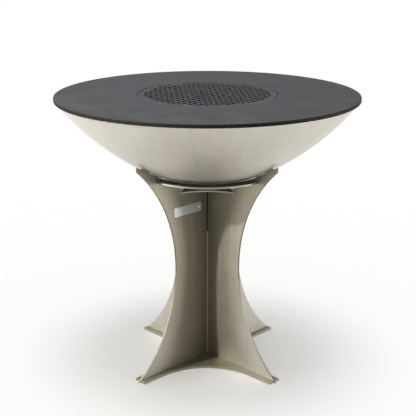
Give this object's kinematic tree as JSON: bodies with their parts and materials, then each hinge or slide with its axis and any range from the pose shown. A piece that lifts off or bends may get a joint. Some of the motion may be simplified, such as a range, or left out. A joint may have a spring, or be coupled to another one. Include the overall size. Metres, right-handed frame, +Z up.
{
  "type": "flat-top grill",
  "caption": "Round flat-top grill: a wide steel cooktop with a lattice grate in its middle lies on a fire bowl, carried by a stand of crossed hourglass panels.",
  "frame": {"origin": "on the ground under the crossing of the panels, in the middle of the cooktop seen from above", "axes": "+Z up, -Y towards the viewer of the picture, +X to the viewer's right; the panels stand at 45 degrees to X and Y"},
  "size_m": [1.0159, 1.016, 0.947],
  "materials": {
    "stand_steel": "bare rolled steel sheet, satin, faintly mottled",
    "bowl_steel": "bare spun steel, satin, faint turning marks",
    "cooktop_steel": "thick steel plate, dark with cooking oil, semi-gloss",
    "grate_steel": "steel plate lattice, dark with cooking oil, satin",
    "name_plate_metal": "bare brushed sheet",
    "rivet_metal": "satin"
  },
  "bodies": {
    "stand": {"panel_a": "stand_steel", "panel_b": "stand_steel", "floor_plate": "stand_steel", "lock_star": "stand_steel", "cradle_ring": "stand_steel", "name_plate": "name_plate_metal", "name_plate_rivets": "rivet_metal"},
    "bowl": {"fire_bowl": "bowl_steel"},
    "top": {"cooktop": "cooktop_steel", "grate_tab_1": "cooktop_steel", "grate_tab_2": "cooktop_steel", "grate_tab_3": "cooktop_steel", "grate_tab_4": "cooktop_steel", "locating_lug_1": "cooktop_steel", "locating_lug_2": "cooktop_steel", "locating_lug_3": "cooktop_steel", "locating_lug_4": "cooktop_steel"},
    "grate": {"grill_grate": "grate_steel"}
  },
  "joints": [
    {"name": "bowl_lift", "type": "slide", "parent": "stand", "child": "bowl", "axis": [0, 0, 1], "range_m": [0, 0.15]},
    {"name": "cooktop_lift", "type": "slide", "parent": "bowl", "child": "top", "axis": [0, 0, 1], "range_m": [0, 0.12]},
    {"name": "grate_lift", "type": "slide", "parent": "top", "child": "grate", "axis": [0, 0, 1], "range_m": [0, 0.12]}
  ]
}
